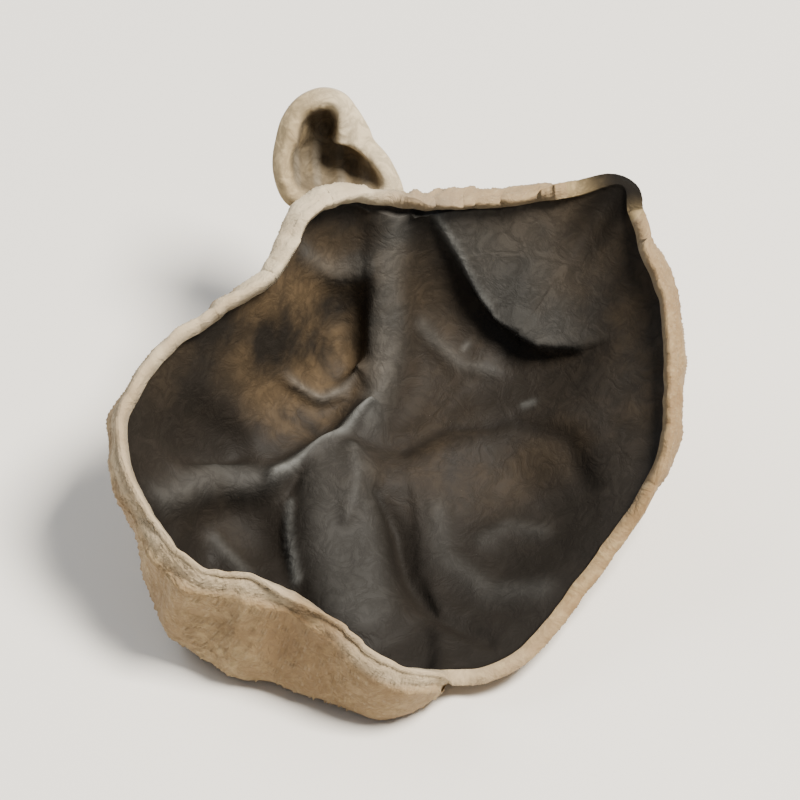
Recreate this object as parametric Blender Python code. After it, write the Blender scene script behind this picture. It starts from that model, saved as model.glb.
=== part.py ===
"""One dried wood ear: a cupped, leathery sheet with a turned-in rim, a curled lobe and a pinched stub.

The sheet is laid out in face axes: X to the right, Y towards the stub, Z out of the hollow, dark face.
The whole ear then leans so that its face looks up and to the front (-Y), and rests on the ground.
Numbers in the tables and constants are millimetres unless they say otherwise.
"""

import math

import bmesh
import bpy
import numpy as np

NAME = "wood_ear"
MM = 0.001  # metres in a millimetre

# Sheet
SHEET = 0.8  # thickness of the dried sheet
RINGS = 20  # rings of faces from the middle of the cup to the edge of the lip
LIP_RINGS = 4  # the outermost rings, which form the turned lip
LEAN = math.radians(20)  # the face leans this far towards the front
SHIFT = (0.14, 1.42)  # move along X and Y that centres the leaned ear
LIFT = 2.92  # height of the middle of the cup's floor above the ground
PRESSED = 0.55  # height at which the dark side levels out where the belly was pressed flat
PRESSED_BLEND = 0.25  # softness of the bend around the pressed patch
BULGE_AT = 0.8  # share of the wall's plan at which it bulges most

# Rim of the cup, counterclockwise from the right: angle in degrees, reach of the outside from the
# middle, rise above the floor of the cup, steepness of the wall, turn of the lip in degrees (inwards
# is positive), length of the lip, and how far the wall bulges out below it.
RIM = (
    (8, 14.6, 4.0, 2.4, 125, 1.5, 0.0),
    (24, 15.5, 4.5, 2.6, 125, 1.5, 0.0),
    (37, 16.0, 4.8, 2.6, 110, 1.2, 0.0),
    (43, 16.4, 5.0, 2.6, 60, 0.8, 0.0),
    (48, 17.2, 5.3, 2.6, 15, 0.6, 0.0),
    (52, 15.4, 5.3, 2.6, 60, 0.8, 0.0),
    (58, 14.3, 5.2, 2.8, 125, 1.1, 0.0),
    (68, 13.1, 5.3, 3.0, 135, 1.2, 0.0),
    (84, 12.1, 5.5, 3.0, 125, 1.1, 0.0),
    (93, 11.8, 5.6, 3.0, 80, 0.9, 0.0),
    (104, 12.3, 6.3, 3.0, 120, 1.2, 0.0),
    (115, 12.1, 6.7, 3.2, 125, 1.3, 0.0),
    (124, 11.0, 6.9, 3.4, 120, 1.2, 0.0),
    (135, 10.1, 7.0, 3.6, 105, 0.9, 0.0),
    (155, 11.0, 7.0, 3.6, 90, 0.7, 0.0),
    (172, 13.1, 7.1, 3.6, 85, 0.7, 0.0),
    (190, 15.1, 7.2, 4.4, 80, 0.7, 0.4),
    (208, 15.4, 7.3, 5.5, 70, 0.8, 1.6),
    (225, 15.2, 7.3, 7.0, 65, 0.9, 3.2),
    (234, 14.0, 7.2, 7.0, 55, 0.9, 4.0),
    (243, 13.5, 7.2, 6.5, 20, 0.8, 4.0),
    (256, 14.4, 7.0, 6.0, 60, 0.8, 3.6),
    (267, 15.8, 6.2, 6.0, 70, 0.9, 2.6),
    (273, 15.4, 5.4, 5.0, 50, 0.8, 1.6),
    (279, 14.6, 3.5, 2.6, 50, 0.7, 0.2),
    (290, 14.7, 3.0, 2.2, 60, 0.6, 0.0),
    (311, 13.2, 2.9, 2.2, 60, 0.5, 0.0),
    (332, 12.9, 3.1, 2.2, 65, 0.6, 0.0),
    (350, 14.0, 3.6, 2.3, 110, 1.1, 0.0),
)

# Small waves of the rim: number around, phase in degrees, sideways height and upward height
RIPPLES = ((9, 20, 0.08, 0.12), (14, 130, 0.05, 0.08))

# Ridges of the face: points along the crest, half-width and height, less than nothing for a crease
RIDGES = (
    (((-0.4, 11.0), (-0.9, 8.6), (-0.9, 5.5), (-1.3, 3.6), (-1.9, 1.5)), 1.2, 1.2),
    (((-5.0, 8.6), (-3.2, 8.9), (-1.6, 9.3)), 0.6, 0.5),
    (((-5.7, 3.6), (-4.3, 3.1), (-3.2, 3.6), (-2.0, 4.7)), 0.6, 0.5),
    (((-1.9, 2.4), (-3.2, 0.6), (-5.1, -0.8), (-6.7, -1.9)), 0.7, 0.8),
    (((-3.2, -1.8), (-3.1, -5.5), (-2.2, -9.5)), 2.2, 1.0),
    (((-1.5, -2.6), (-0.2, -4.6), (0.2, -7.3), (1.6, -9.6), (4.2, -11.4)), 0.9, -0.3),
    (((2.0, -3.6), (2.4, -6.3), (4.6, -8.4)), 1.2, 0.3),
    (((-12.4, -4.1), (-9.7, -2.1), (-6.7, -1.9)), 1.0, 0.7),
)

# Hollows of the sheet: centre, half-widths along X and Y, and depth, less than nothing for a swelling
HOLLOWS = (
    ((-3.2, 6.6), (2.2, 2.8), 1.0),
    ((5.2, -4.6), (5.4, 6.2), 1.5),
    ((-10.2, -0.4), (2.6, 1.9), 1.0),
    ((-8.6, -5.4), (2.6, 3.2), 0.9),
    ((0.5, 5.5), (9.0, 6.5), 1.6),
    ((-3.2, -6.2), (2.6, 5.4), -0.8),
)

# The overlap on the right of the stub: its lower edge, the drop there, its softness and its fading
OVERLAP_EDGE = ((1.4, 11.0), (3.2, 9.2), (5.1, 7.2), (7.4, 5.5), (9.2, 5.0))
OVERLAP_DROP = 1.1
OVERLAP_SOFT = 2.0
OVERLAP_FADE = 4.0
OVERLAP_END = (7.0, 11.0)  # it sinks into the face between these places along X

# Slow waves of the whole sheet: direction in degrees, wavelength, phase in degrees and height
WAVES = ((25, 13.0, 40, 0.3), (100, 9.0, 110, 0.2), (160, 6.5, 250, 0.12))

# Stub: where the ear grew from the wood, a fluted pinch of the back
STUB_AT = (-0.2, 8.8)
STUB_ROOT = 6.0  # radius where it leaves the sheet
STUB_TIP = 1.3  # radius of its broken end
STUB_LENGTH = 8.0
STUB_FLARE = 2.2  # how quickly it spreads into the sheet
STUB_STOPS = (0.74, 0.88)  # the shares of the sheet between which its pull fades towards the lip
STUB_FLUTES = 5
STUB_FLUTE_DEPTH = 0.5

# Curled lobe: a small pouch that leaves the wall above the stub and opens to the front
LOBE_MIDDLE = (-4.0, 14.25, 6.18)  # in face axes
LOBE_UP = (0.0, 0.838, 0.547)  # its outline lies in the plane of X and this direction
LOBE_BACK = (0.0, 0.547, -0.838)  # its hollow goes this way
LOBE_DEPTH = 2.6
LOBE_ROLL = 0.6  # how far its rolled rim bends back
LOBE_EDGE = 0.5  # thickness of its edge
LOBE_SINK = 0.9  # how far its lower part comes forward, into the wall
LOBE_KEEL = 1.5  # how far its back is drawn down the wall
LOBE_RINGS = 8

# Outline of the lobe, counterclockwise from the right: angle in degrees, reach of the outside from its
# middle and width of its rolled rim.
LOBE = (
    (18, 2.4, 1.9),
    (45, 2.4, 1.6),
    (68, 2.7, 1.3),
    (90, 2.8, 1.1),
    (114, 2.7, 1.1),
    (148, 2.5, 1.2),
    (178, 2.5, 1.2),
    (206, 2.9, 1.1),
    (228, 3.1, 1.0),
    (250, 3.0, 1.0),
    (288, 3.2, 1.0),
    (312, 4.0, 1.2),
    (330, 4.7, 1.6),
    (345, 3.6, 1.9),
    (358, 2.7, 2.0),
)

DARK = (0.038, 0.029, 0.021, 1.0)
TAN = (0.42, 0.33, 0.21, 1.0)


def clear_scene():
    for obj in list(bpy.data.objects):
        bpy.data.objects.remove(obj, do_unlink=True)


def smoothstep(value):
    value = np.clip(value, 0.0, 1.0)
    return value * value * (3.0 - 2.0 * value)


def soft_floor(value, floor, softness):
    """The larger of value and floor, with a rounded corner between them."""
    lift = value - floor
    return floor + 0.5 * (lift + np.sqrt(lift * lift + 4 * softness * softness))


def around(angle, table, column):
    """A column of a table of stations at any angle, on a closed smooth curve through the stations."""
    turn = 2 * math.pi
    at = np.radians([row[0] for row in table])
    values = np.array([row[column] for row in table], float)
    at = np.concatenate([at[-2:] - turn, at, at[:3] + turn])
    values = np.concatenate([values[-2:], values, values[:3]])
    slopes = np.gradient(values, at)
    angle = np.mod(angle, turn)
    i = np.searchsorted(at, angle, side="right") - 1
    width = at[i + 1] - at[i]
    s = (angle - at[i]) / width
    return (
        (1 + 2 * s) * (1 - s) ** 2 * values[i]
        + s * (1 - s) ** 2 * width * slopes[i]
        + s * s * (3 - 2 * s) * values[i + 1]
        + s * s * (s - 1) * width * slopes[i + 1]
    )


def distance_to_path(x, y, path):
    """Distance from each point to the nearest place on a path of straight stretches."""
    nearest = np.full(x.shape, np.inf)
    for (ax, ay), (bx, by) in zip(path, path[1:]):
        dx, dy = bx - ax, by - ay
        s = np.clip(((x - ax) * dx + (y - ay) * dy) / (dx * dx + dy * dy), 0.0, 1.0)
        nearest = np.minimum(nearest, np.hypot(x - ax - s * dx, y - ay - s * dy))
    return nearest


def overlap_height(x, y):
    """Height of the fold on the right of the stub: it drops at its lower edge and fades to the rim."""
    edge = distance_to_path(x, y, OVERLAP_EDGE)
    line = np.interp(x, [p[0] for p in OVERLAP_EDGE], [p[1] for p in OVERLAP_EDGE])
    side = smoothstep(0.5 + np.sign(y - line) * edge / OVERLAP_SOFT)
    first, last = OVERLAP_END
    sinking = 1 - smoothstep((x - first) / (last - first))
    return OVERLAP_DROP * side * sinking * np.exp(-((edge / OVERLAP_FADE) ** 2))


def relief(x, y):
    """Height that the ridges and the overlap add to the face, where the sheet is doubled or ribbed."""
    height = overlap_height(x, y)
    for path, half_width, crest in RIDGES:
        height = height + crest * np.exp(-((distance_to_path(x, y, path) / half_width) ** 2))
    return height


def folds(x, y):
    """Height of both sides of the sheet, from its hollows and waves, at a point of its plan."""
    height = np.zeros(x.shape)
    for (cx, cy), (wx, wy), depth in HOLLOWS:
        away = np.hypot((x - cx) / wx, (y - cy) / wy)
        height = height - depth * (1 - smoothstep((away - 0.45) / 0.75))
    for direction, length, phase, crest in WAVES:
        heading = math.radians(direction)
        along = x * math.cos(heading) + y * math.sin(heading)
        height = height + crest * np.sin(2 * math.pi * along / length + math.radians(phase))
    return height


def face_points(share, angle):
    """The dark side of the sheet without its relief, and the height of the relief at each point.

    The share runs from 0 in the middle of the cup to 1 at the edge of the lip.
    """
    lip_from = 1 - LIP_RINGS / RINGS
    out = np.clip(share / lip_from, 0.0, 1.0)
    along = np.clip((share - lip_from) / (1 - lip_from), 0.0, 1.0)
    reach, rise, steep, turn, lip, bulge = (around(angle, RIM, column) for column in range(1, 7))
    for count, phase, sideways, upwards in RIPPLES:
        wave = np.sin(count * angle + math.radians(phase))
        reach, rise = reach + sideways * wave, rise + upwards * wave
    turn = np.radians(turn)
    turn = np.where(np.abs(turn) < 0.01, 0.01, turn)
    top = 1 - BULGE_AT
    wall = np.arctan2(rise * steep, reach - 1.5 - bulge * math.pi / 2 / top)
    bend = turn / lip
    widest = np.where(turn > 0, np.clip((math.pi / 2 - wall) / turn, 0.0, 1.0), 1.0)
    shoulder = reach - SHEET - (np.sin(wall + turn * widest) - np.sin(wall)) / bend
    slope = wall + turn * along
    inner = smoothstep((out - 0.3) / (BULGE_AT - 0.3))
    outer = np.cos(math.pi / 2 * (out - BULGE_AT) / top)
    spread = shoulder * out + bulge * np.where(out < BULGE_AT, inner, outer)
    radius = spread + (np.sin(slope) - np.sin(wall)) / bend
    height = rise * out**steep + (np.cos(wall) - np.cos(slope)) / bend
    plan = spread * np.cos(angle), spread * np.sin(angle)
    fading = smoothstep(3 * out - 2)
    height = height + folds(*plan) * (1 - 0.7 * fading)
    points = np.stack([radius * np.cos(angle), radius * np.sin(angle), height], axis=1)
    return points, relief(*plan) * (1 - 0.6 * fading) * (1 - smoothstep(2 * along))


def disc_place(x, y):
    """A place on a square of half-width 1 as share and angle of a disc: square rings become circles."""
    sideways = np.abs(x) > np.abs(y)
    share = np.maximum(np.abs(x), np.abs(y))
    safe = np.where(share == 0, 1.0, share)
    right_or_left = np.where(x > 0, 0.0, math.pi) + math.pi / 4 * y / safe * np.where(x > 0, 1, -1)
    up_or_down = np.where(y > 0, 0.5, 1.5) * math.pi - math.pi / 4 * x / safe * np.where(y > 0, 1, -1)
    return share, np.where(sideways, right_or_left, up_or_down)


def leaned(points):
    """Face axes to the ear's own: the face turned up and to the front, and the ear centred and lifted."""
    c, s = math.cos(LEAN), math.sin(LEAN)
    x, y, z = np.asarray(points, float).T
    return np.stack([x + SHIFT[0], c * y - s * z + SHIFT[1], s * y + c * z + LIFT], axis=-1)


def plan_of(points):
    """X and Y in face axes of points of the ear."""
    c, s = math.cos(LEAN), math.sin(LEAN)
    x, y, z = np.asarray(points, float).T
    return np.stack([x - SHIFT[0], c * (y - SHIFT[1]) + s * (z - LIFT)], axis=-1)


def read_points(verts):
    return np.array([v.co for v in verts], float)


def write_points(verts, points):
    for vertex, point in zip(verts, points):
        vertex.co = point


def thicken(bm, thickness):
    """Gives a surface a second side, behind its normals, and closes the edge. Returns the new side."""
    first = list(bm.verts)
    known = set(first)
    bm.normal_update()
    bmesh.ops.solidify(bm, geom=bm.faces[:], thickness=thickness)
    return first, [v for v in bm.verts if v not in known]


def stub_pull(points, share):
    """How far the stub draws each point of the back away from the sheet."""
    x, y = points[:, 0] - STUB_AT[0], points[:, 1] - STUB_AT[1]
    away = np.hypot(x, y) + STUB_FLUTE_DEPTH * np.cos(STUB_FLUTES * np.arctan2(y, x))
    spread = np.clip((away - STUB_TIP) / (STUB_ROOT - STUB_TIP), 0.0, 1.0)
    fading = smoothstep((share - STUB_STOPS[0]) / (STUB_STOPS[1] - STUB_STOPS[0]))
    return STUB_LENGTH * (1 - spread) ** STUB_FLARE * (1 - fading)


def paint(bm, dark_verts):
    """Gives the first material to faces whose corners all lie on the dark side."""
    for face in bm.faces:
        face.material_index = 0 if all(v in dark_verts for v in face.verts) else 1
        face.smooth = True


def sheet_mesh():
    """The cup with its lip and stub."""
    bm = bmesh.new()
    shares = bm.verts.layers.float.new("share")
    bmesh.ops.create_grid(bm, x_segments=2 * RINGS, y_segments=2 * RINGS, size=1.0)
    flat = read_points(bm.verts)
    share, angle = disc_place(flat[:, 0], flat[:, 1])
    for vertex, part in zip(bm.verts, share):
        vertex[shares] = part
    points, raised = face_points(share, angle)
    points = leaned(points)
    points[:, 2] = soft_floor(points[:, 2], PRESSED, PRESSED_BLEND)
    write_points(bm.verts, points)
    bm.normal_update()
    facing = np.array([v.normal for v in bm.verts])
    face, back = thicken(bm, SHEET)
    write_points(face, points + raised[:, None] * facing)

    grown = read_points(back)
    pull = stub_pull(plan_of(grown), np.array([v[shares] for v in back]))
    grown[:, 1] += math.sin(LEAN) * pull
    grown[:, 2] = np.maximum(grown[:, 2] - math.cos(LEAN) * pull, 0.0)
    write_points(back, grown)
    lip_from = 1 - LIP_RINGS / RINGS
    paint(bm, {v for v, part in zip(face, share) if part < lip_from + 0.08})
    return bm


def lobe_points(side, up, depth):
    """Places of the lobe from their places in its outline and their depth behind it."""
    points = np.array(LOBE_MIDDLE) + np.outer(side, (1.0, 0.0, 0.0)) + np.outer(up, LOBE_UP)
    points = points + np.outer(depth, LOBE_BACK)
    points[:, 1] -= LOBE_SINK * smoothstep(-up / 3.2)
    return leaned(points)


def lobe_mesh():
    """The curled lobe, its foot buried in the wall of the cup."""
    bm = bmesh.new()
    twins = bm.verts.layers.int.new("twin")
    bmesh.ops.create_grid(bm, x_segments=2 * LOBE_RINGS, y_segments=2 * LOBE_RINGS, size=1.0)
    flat = read_points(bm.verts)
    share, angle = disc_place(flat[:, 0], flat[:, 1])
    reach, roll = (around(angle, LOBE, column) for column in (1, 2))
    band = 1 - roll / reach
    across = np.clip((share - band) / (1 - band), 0.0, 1.0)
    inside = np.clip(share / band, 0.0, 1.0)
    hollow = LOBE_ROLL + (LOBE_DEPTH - LOBE_ROLL) * (1 - inside**3)
    depth = np.where(share < band, hollow, LOBE_ROLL * (2 * across - 1) ** 2)
    side, up = reach * share * np.cos(angle), reach * share * np.sin(angle)
    points = lobe_points(side, up, depth)
    write_points(bm.verts, points)
    for number, vertex in enumerate(bm.verts):
        vertex[twins] = number
    inner, outer = thicken(bm, SHEET)
    twin = [v[twins] for v in outer]
    hump = 1 - share[twin] ** 2
    depth = LOBE_ROLL + LOBE_EDGE + LOBE_DEPTH * hump
    write_points(outer, lobe_points(side[twin], up[twin] - LOBE_KEEL * hump, depth))
    paint(bm, {v for v, part in zip(inner, across) if part < 0.3})
    return bm


def material(name, colour, roughness):
    made = bpy.data.materials.new(name)
    made.use_nodes = True
    shader = made.node_tree.nodes["Principled BSDF"]
    shader.inputs["Base Color"].default_value = colour
    shader.inputs["Roughness"].default_value = roughness
    made.diffuse_color = colour
    return made


def collection(name):
    made = bpy.data.collections.new(name)
    bpy.context.scene.collection.children.link(made)
    return made


def add_object(name, bm, materials, home):
    """Links a finished mesh, turned from millimetres to metres."""
    bmesh.ops.scale(bm, vec=(MM, MM, MM), verts=bm.verts)
    bmesh.ops.recalc_face_normals(bm, faces=bm.faces[:])
    mesh = bpy.data.meshes.new(name)
    bm.to_mesh(mesh)
    bm.free()
    for one in materials:
        mesh.materials.append(one)
    obj = bpy.data.objects.new(name, mesh)
    home.objects.link(obj)
    return obj


def main():
    clear_scene()
    ear_home, tool_home = collection("dried_wood_ear"), collection("cutters")
    materials = [material("dark_face", DARK, 0.5), material("tan_back", TAN, 0.85)]
    ear = add_object(NAME, sheet_mesh(), materials, ear_home)
    curl = add_object("curled_lobe", lobe_mesh(), materials, tool_home)
    curl.hide_render = True
    curl.display_type = "WIRE"
    join = ear.modifiers.new("join_curled_lobe", "BOOLEAN")
    join.operation = "UNION"
    join.solver = "EXACT"
    join.use_self = True
    join.object = curl


main()
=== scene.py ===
"""Looks of one dried wood ear: a cupped sheet of flesh, dark inside and tan outside, with a curled lobe.

The sheet is laid out in face axes: X to the right, Y towards the stub, Z out of the hollow, dark face.
The ear then leans so that its face looks up and to the front (-Y), as it rests on the ground.
Shape tables are in millimetres, and a finished mesh is turned into metres as it is made.
"""

from __future__ import annotations

import logging
import math
from dataclasses import dataclass, field
from enum import Enum

import bmesh
import bpy
import numpy as np
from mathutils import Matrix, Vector, noise

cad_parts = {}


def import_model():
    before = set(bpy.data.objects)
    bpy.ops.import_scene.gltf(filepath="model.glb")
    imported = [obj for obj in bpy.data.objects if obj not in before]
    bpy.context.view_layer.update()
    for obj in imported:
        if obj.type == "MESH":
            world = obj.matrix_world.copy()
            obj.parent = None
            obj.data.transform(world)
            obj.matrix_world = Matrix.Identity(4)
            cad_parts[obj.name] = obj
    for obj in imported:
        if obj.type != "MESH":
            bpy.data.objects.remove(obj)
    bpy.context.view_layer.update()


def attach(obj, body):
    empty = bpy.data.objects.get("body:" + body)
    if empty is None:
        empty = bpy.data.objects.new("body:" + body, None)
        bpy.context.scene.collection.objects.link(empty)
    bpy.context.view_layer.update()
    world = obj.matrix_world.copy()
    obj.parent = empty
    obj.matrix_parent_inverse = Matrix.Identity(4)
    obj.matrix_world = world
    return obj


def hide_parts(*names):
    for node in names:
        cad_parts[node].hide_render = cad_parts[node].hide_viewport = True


LOG = logging.getLogger("dried_wood_ear")
MM = 0.001  # metres in a millimetre
FULL_TURN = 2 * math.pi
SEED_WAY = (1.0, 2.7, -1.3)  # way in which a seed shifts a noise

Colour = tuple[float, float, float, float]
Path = tuple[tuple[float, float], ...]


class Slot(Enum):
    """Material slots of every piece of flesh."""

    FACE = 0
    OUTSIDE = 1


class Mark(Enum):
    """Point attributes that say what each place of the flesh is like, from 0 to 1."""

    PALE = "pale"  # the tan, fuzzy skin, against the dark face
    RIB = "rib"  # painted highlight on the crest of a vein or fold
    DEEP = "deep"  # painted shade at the bottom of a hollow or groove
    BROWN = "brown"  # thin flesh that lets brown through; outside, worn patches and painted shade on the lip
    ROOT = "root"  # nearness to the stub
    TIP = "tip"  # the pointed corner, dark to its very edge
    LIGHT = "light"  # painted highlight along the rim, in cream
    FUZZ = "fuzz"  # tips of the short tufts of the outside


# ---------------------------------------------------------------- shapes of the folds


def smoothstep(value: np.ndarray) -> np.ndarray:
    """Eases from 0 to 1.

    Args:
        value: Numbers, which are held between 0 and 1 first.

    Returns:
        The eased numbers.
    """
    value = np.clip(value, 0.0, 1.0)
    return value * value * (3.0 - 2.0 * value)


def soft_floor(value: np.ndarray, floor: float, softness: float) -> np.ndarray:
    """Keeps numbers above a floor, with a rounded corner.

    Args:
        value: Numbers to hold up.
        floor: The least they may come near.
        softness: How far the rounding reaches.

    Returns:
        The held numbers.
    """
    lift = value - floor
    return floor + 0.5 * (lift + np.sqrt(lift * lift + 4 * softness * softness))


def path_distance(x: np.ndarray, y: np.ndarray, path: Path) -> np.ndarray:
    """Measures how far points are from a path of straight stretches.

    Args:
        x: First coordinates of the points.
        y: Second coordinates of the points.
        path: Corners of the path.

    Returns:
        The distance of each point.
    """
    nearest = np.full(x.shape, np.inf)
    for (ax, ay), (bx, by) in zip(path, path[1:]):
        dx, dy = bx - ax, by - ay
        s = np.clip(((x - ax) * dx + (y - ay) * dy) / (dx * dx + dy * dy), 0.0, 1.0)
        nearest = np.minimum(nearest, np.hypot(x - ax - s * dx, y - ay - s * dy))
    return nearest


def noise_at(points: np.ndarray, scale: float, seed: float) -> np.ndarray:
    """Smooth noise of the flesh, from about -1 to 1.

    Args:
        points: One place a row.
        scale: Size of its lumps.
        seed: Shift that makes one noise unlike another.

    Returns:
        One number for each place.
    """
    shift = Vector([seed * way for way in SEED_WAY])
    return np.array([noise.noise(Vector(p) / scale + shift) for p in points.tolist()])


def crumple_at(points: np.ndarray, scale: float, seed: float) -> np.ndarray:
    """Sharp-crested noise, like skin that has dried and shrunk.

    Args:
        points: One place a row.
        scale: Size of its largest creases.
        seed: Shift that makes one noise unlike another.

    Returns:
        One number for each place, from 0 in the creases to about 1 on the crests.
    """
    finer, other_seed, fine_share = 2.3, 7.1, 0.35
    broad = 1 - np.abs(noise_at(points, scale, seed))
    fine = 1 - np.abs(noise_at(points, scale / finer, seed + other_seed))
    return broad * broad * (1 - fine_share + fine_share * fine * fine)


@dataclass(frozen=True)
class Lumps:
    """One unevenness of the flesh.

    Attributes:
        scale: Size of its lumps, or of its largest creases.
        seed: Shift that makes it unlike another.
        height: How strongly it shows.
    """

    scale: float
    seed: float
    height: float = 1.0

    def smooth(self, points: np.ndarray) -> np.ndarray:
        """Reads it as rounded lumps, up to about its height either way."""
        return self.height * noise_at(points, self.scale, self.seed)

    def crumpled(self, points: np.ndarray) -> np.ndarray:
        """Reads it as sharp crests between soft creases, from 0 to about its height."""
        return self.height * crumple_at(points, self.scale, self.seed)


@dataclass(frozen=True)
class Station:
    """One place on the rim of the cup.

    Attributes:
        angle: Degrees counterclockwise from the right.
        reach: Distance of the outside from the middle.
        rise: Height above the floor of the cup.
        steep: Steepness of the wall, a power.
        turn: Degrees that the lip turns, inwards if positive.
        lip: Length of the lip.
        bulge: How far the wall swells out below the lip.
    """

    angle: float
    reach: float
    rise: float
    steep: float
    turn: float
    lip: float
    bulge: float


@dataclass(frozen=True)
class LobeStation:
    """One place on the outline of the lobe.

    Attributes:
        angle: Degrees counterclockwise from the right.
        reach: Distance of the outside from the middle of the lobe.
        roll: Width of the rolled rim.
    """

    angle: float
    reach: float
    roll: float


def around(angle: np.ndarray, stations: tuple, column: str) -> np.ndarray:
    """Reads one measure of an outline at any angle, on a closed smooth curve through its stations.

    Args:
        angle: Angles in radians.
        stations: The outline.
        column: Name of the measure.

    Returns:
        The measure at each angle.
    """
    at = np.radians([s.angle for s in stations])
    values = np.array([getattr(s, column) for s in stations], float)
    at = np.concatenate([at[-2:] - FULL_TURN, at, at[:3] + FULL_TURN])
    values = np.concatenate([values[-2:], values, values[:3]])
    slopes = np.gradient(values, at)
    angle = np.mod(angle, FULL_TURN)
    i = np.searchsorted(at, angle, side="right") - 1
    width = at[i + 1] - at[i]
    s = (angle - at[i]) / width
    return (
        (1 + 2 * s) * (1 - s) ** 2 * values[i]
        + s * (1 - s) ** 2 * width * slopes[i]
        + s * s * (3 - 2 * s) * values[i + 1]
        + s * s * (s - 1) * width * slopes[i + 1]
    )


def disc_place(x: np.ndarray, y: np.ndarray) -> tuple[np.ndarray, np.ndarray]:
    """Turns places on a square into places on a disc, so that square rings become circles.

    Args:
        x: First coordinates on a square of half-width 1.
        y: Second coordinates on it.

    Returns:
        The share of the way out, and the angle.
    """
    share = np.maximum(np.abs(x), np.abs(y))
    safe = np.where(share == 0, 1.0, share)
    eighth = math.pi / 4
    sideways = np.where(x > 0, 0.0, math.pi) + eighth * y / safe * np.where(x > 0, 1, -1)
    upwards = np.where(y > 0, 0.5, 1.5) * math.pi - eighth * x / safe * np.where(y > 0, 1, -1)
    return share, np.where(np.abs(x) > np.abs(y), sideways, upwards)


@dataclass(frozen=True)
class Ridge:
    """A raised fold or vein of the dark face.

    Attributes:
        path: Points along its crest.
        width: Half its width.
        crest: Its height.
        pale: Painted highlight on its crest, from 0 to 1.
        flat: How flat its top is, 1 for a rounded one.
    """

    path: Path
    width: float
    crest: float
    pale: float = 0.5
    flat: float = 1.0

    def bump(self, x: np.ndarray, y: np.ndarray) -> np.ndarray:
        """Shape of the ridge, from 0 away from it to 1 on its crest.

        Args:
            x: First coordinates in the plan of the face.
            y: Second coordinates in the plan of the face.

        Returns:
            One number for each point.
        """
        return np.exp(-((path_distance(x, y, self.path) / self.width) ** (2 * self.flat)))


@dataclass(frozen=True)
class Hollow:
    """A dent of the whole sheet.

    Attributes:
        centre: Its middle in the plan of the face.
        widths: Half-widths along X and Y.
        depth: Its depth.
    """

    centre: tuple[float, float]
    widths: tuple[float, float]
    depth: float

    def bump(self, x: np.ndarray, y: np.ndarray) -> np.ndarray:
        """Shape of the hollow, from 0 outside it to 1 at its bottom.

        Args:
            x: First coordinates in the plan of the face.
            y: Second coordinates in the plan of the face.

        Returns:
            One number for each point.
        """
        away = np.hypot((x - self.centre[0]) / self.widths[0], (y - self.centre[1]) / self.widths[1])
        return 1 - smoothstep((away - 0.45) / 0.75)


@dataclass(frozen=True)
class Wave:
    """A slow wave of the whole sheet: heading and phase in degrees, wavelength and height."""

    heading: float
    length: float
    phase: float
    crest: float


RIM = (
    Station(8, 14.6, 4.0, 2.4, 125, 1.5, 0.0),
    Station(24, 15.5, 4.5, 2.6, 125, 1.5, 0.0),
    Station(37, 16.0, 4.8, 2.6, 110, 1.2, 0.0),
    Station(43, 16.4, 5.0, 2.6, 60, 0.8, 0.0),
    Station(48, 17.2, 5.3, 2.6, 15, 0.6, 0.0),
    Station(52, 15.4, 5.3, 2.6, 60, 0.8, 0.0),
    Station(58, 14.3, 5.2, 2.8, 125, 1.1, 0.0),
    Station(68, 13.1, 5.3, 3.0, 135, 1.2, 0.0),
    Station(84, 12.1, 5.5, 3.0, 125, 1.1, 0.0),
    Station(93, 11.8, 5.6, 3.0, 80, 0.9, 0.0),
    Station(104, 12.3, 6.3, 3.0, 120, 1.2, 0.0),
    Station(115, 12.1, 6.7, 3.2, 125, 1.3, 0.0),
    Station(124, 11.0, 6.9, 3.4, 120, 1.2, 0.0),
    Station(135, 10.1, 7.0, 3.6, 105, 0.9, 0.0),
    Station(155, 11.0, 7.0, 3.6, 90, 0.7, 0.0),
    Station(172, 13.1, 7.1, 3.6, 85, 0.7, 0.0),
    Station(190, 15.1, 7.2, 4.4, 80, 0.7, 0.4),
    Station(208, 15.4, 7.3, 5.5, 70, 0.8, 1.6),
    Station(225, 15.2, 7.3, 7.0, 65, 0.9, 3.2),
    Station(234, 14.0, 7.2, 7.0, 55, 0.9, 4.0),
    Station(243, 13.5, 7.2, 6.5, 20, 0.8, 4.0),
    Station(256, 14.4, 7.0, 6.0, 60, 0.8, 3.6),
    Station(267, 15.8, 6.2, 6.0, 70, 0.9, 2.6),
    Station(273, 15.4, 5.4, 5.0, 50, 0.8, 1.6),
    Station(279, 14.6, 3.5, 2.6, 50, 0.7, 0.2),
    Station(290, 14.7, 3.0, 2.2, 60, 0.6, 0.0),
    Station(311, 13.2, 2.9, 2.2, 60, 0.5, 0.0),
    Station(332, 12.9, 3.1, 2.2, 65, 0.6, 0.0),
    Station(350, 14.0, 3.6, 2.3, 110, 1.1, 0.0),
)


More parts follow.
